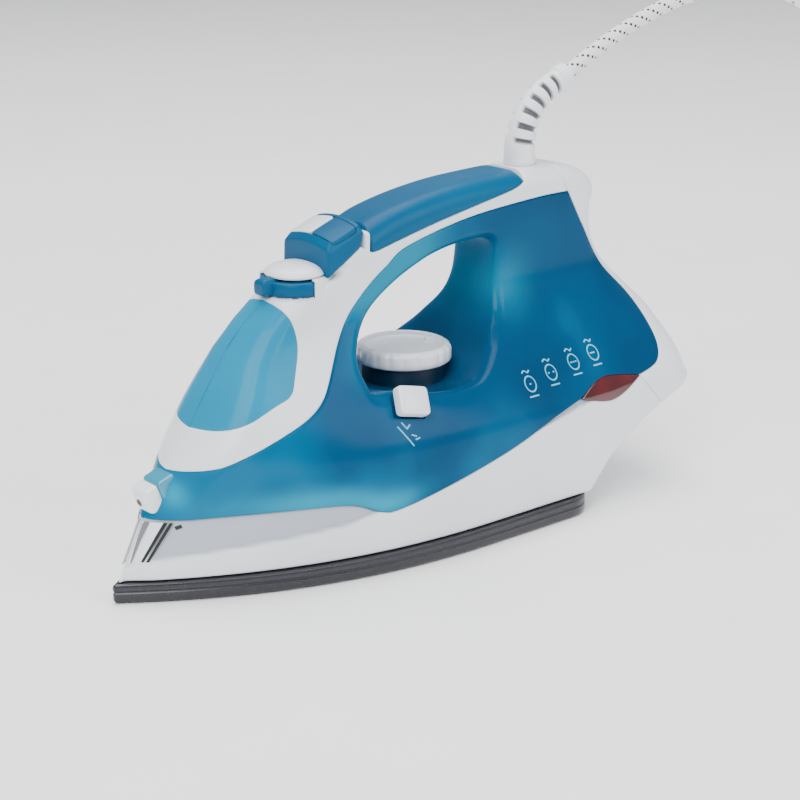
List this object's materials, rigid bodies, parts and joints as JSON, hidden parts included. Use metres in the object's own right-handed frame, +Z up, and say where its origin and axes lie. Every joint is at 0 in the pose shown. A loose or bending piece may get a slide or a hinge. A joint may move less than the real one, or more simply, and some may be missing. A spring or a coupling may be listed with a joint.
{
  "type": "clothes iron",
  "caption": "Steam iron with a pointed sole, see-through water tank, dial, steam lever, spray and burst buttons, filler cover and a swivelling cord.",
  "frame": {"origin": "on the ironing surface, under the middle of the iron's own box without its cord", "axes": "+X from the tip of the sole to the heel, +Y to the side away from the self-clean button, +Z up from the ironing surface"},
  "size_m": [0.599, 0.1175, 0.2342],
  "materials": {
    "sole_coat": "non-stick coated",
    "cast_aluminium": "as cast",
    "steel": "plain",
    "chrome_trim": "bright",
    "white_abs": "satin moulded",
    "blue_tank": "clear tinted",
    "cyan_visor": "clear tinted",
    "blue_grip": "satin moulded",
    "navy_abs": "satin",
    "red_lens": "clear tinted",
    "nylon": "natural",
    "black_rubber": "matte",
    "guard_pvc": "soft satin",
    "cotton_braid": "white braid with black flecks",
    "plug_pvc": "satin moulded",
    "pin_metal": "nickel plated"
  },
  "bodies": {
    "housing": {"soleplate": "sole_coat", "heater_casting": "cast_aluminium", "heating_element": "steel", "steam_chamber_cover": "steel", "thermostat": "steel", "thermal_fuse": "black_rubber", "skirt": "white_abs", "nose_trim": "chrome_trim", "water_tank": "blue_tank", "handle_shell": "white_abs", "grip_inlay": "blue_grip", "rear_cover": "white_abs", "rear_cover_screw": "steel", "terminal_block": "nylon", "dial_collar": "navy_abs", "button_housing": "blue_grip", "burst_pump": "nylon", "spray_pump": "nylon", "nozzle_neck": "cyan_visor", "spray_nozzle": "white_abs", "filler_neck": "blue_tank", "lamp_lens": "red_lens", "cord": "cotton_braid", "cord_coil": "cotton_braid", "cord_tie": "black_rubber", "plug_body": "plug_pvc", "plug_pin_left": "pin_metal", "plug_pin_right": "pin_metal"},
    "dial": {"dial": "white_abs", "thermostat_shaft": "steel"},
    "steam_lever": {"steam_lever": "blue_grip", "steam_valve_rod": "nylon"},
    "burst_button": {"burst_button": "blue_grip", "burst_plunger": "steel"},
    "spray_button": {"spray_button": "white_abs", "spray_plunger": "steel"},
    "self_clean_button": {"self_clean_button": "white_abs", "self_clean_stem": "steel"},
    "filler_cover": {"filler_cover": "cyan_visor", "filler_hinge_pin": "steel"},
    "cord_swivel": {"swivel_bush": "white_abs", "cord_guard": "guard_pvc"}
  },
  "joints": [
    {"name": "dial_turn", "type": "hinge", "parent": "housing", "child": "dial", "pos_m": [0.005, 0, 0.0806], "axis": [0, 0, 1], "range_deg": [0, 270]},
    {"name": "steam_lever_turn", "type": "hinge", "parent": "housing", "child": "steam_lever", "pos_m": [-0.0555, 0, 0.122], "axis": [0, 0, 1], "range_deg": [-25, 25]},
    {"name": "burst_press", "type": "slide", "parent": "housing", "child": "burst_button", "axis": [0.3551, 0, -0.9348], "range_m": [0, 0.003], "stiffness_N_per_m": 400, "springref_m": -0.001},
    {"name": "spray_press", "type": "slide", "parent": "housing", "child": "spray_button", "axis": [0.3551, 0, -0.9348], "range_m": [0, 0.003], "stiffness_N_per_m": 400, "springref_m": -0.001},
    {"name": "self_clean_press", "type": "slide", "parent": "housing", "child": "self_clean_button", "axis": [0, 0.8387, -0.5446], "range_m": [0, 0.0025], "stiffness_N_per_m": 400, "springref_m": -0.001},
    {"name": "filler_cover_open", "type": "hinge", "parent": "housing", "child": "filler_cover", "pos_m": [-0.107, 0, 0.0728], "axis": [0, -1, 0], "range_deg": [0, 55]},
    {"name": "cord_swivel_turn", "type": "hinge", "parent": "housing", "child": "cord_swivel", "pos_m": [0.0755, 0, 0.158], "axis": [0, 0, 1], "range_deg": [-30, 30], "deforming": ["cord"]}
  ]
}
